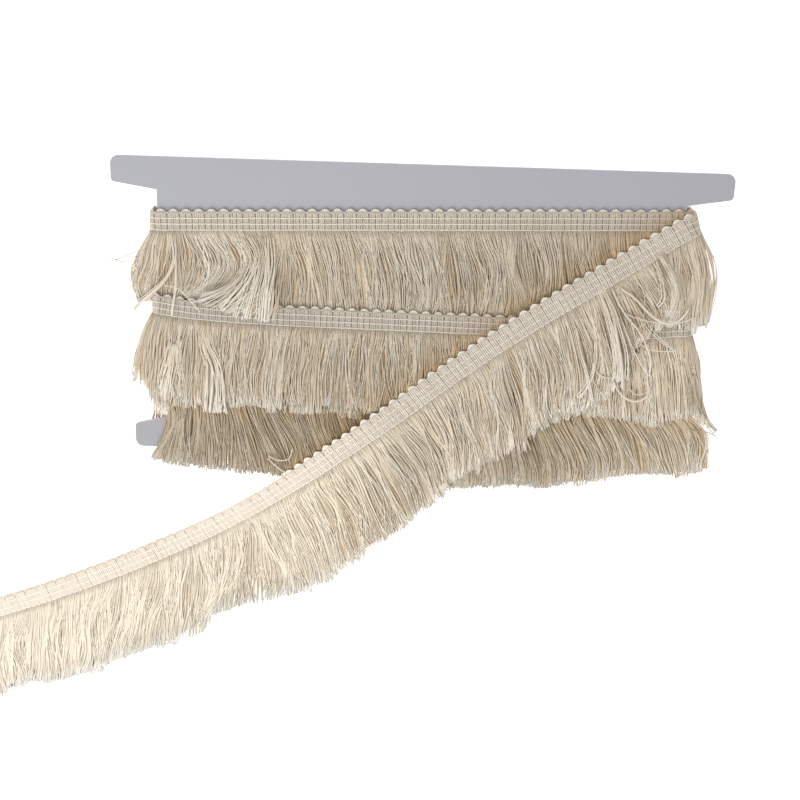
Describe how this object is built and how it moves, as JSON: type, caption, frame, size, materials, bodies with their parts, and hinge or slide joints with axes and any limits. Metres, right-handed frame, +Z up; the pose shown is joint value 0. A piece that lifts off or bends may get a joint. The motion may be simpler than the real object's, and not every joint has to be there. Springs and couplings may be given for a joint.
{
  "type": "tassel fringe trim on a winding card",
  "caption": "Length of cut fringe trim with a woven picot-edged heading, wound round a flat H-shaped card, with a loose end trailing off to one side.",
  "frame": {"origin": "middle of the underside of the heading's outermost back turn, which rests on the surface", "axes": "+X along the card's length, +Y towards the card's top bar, +Z up from the surface"},
  "size_m": [0.3604, 0.2817, 0.0138],
  "materials": {
    "heading": "woven unbleached cotton tape, matt",
    "fringe": "loose unbleached cotton yarn, matt with a slight sheen",
    "card": "grey pressed board, matt, paler cut edges"
  },
  "bodies": {
    "root": {"heading": "heading", "fringe_front_1": "fringe", "fringe_front_2": "fringe", "fringe_front_3": "fringe", "fringe_back_1": "fringe", "fringe_back_2": "fringe", "fringe_back_3": "fringe", "fringe_tail": "fringe", "card": "card"}
  },
  "joints": []
}
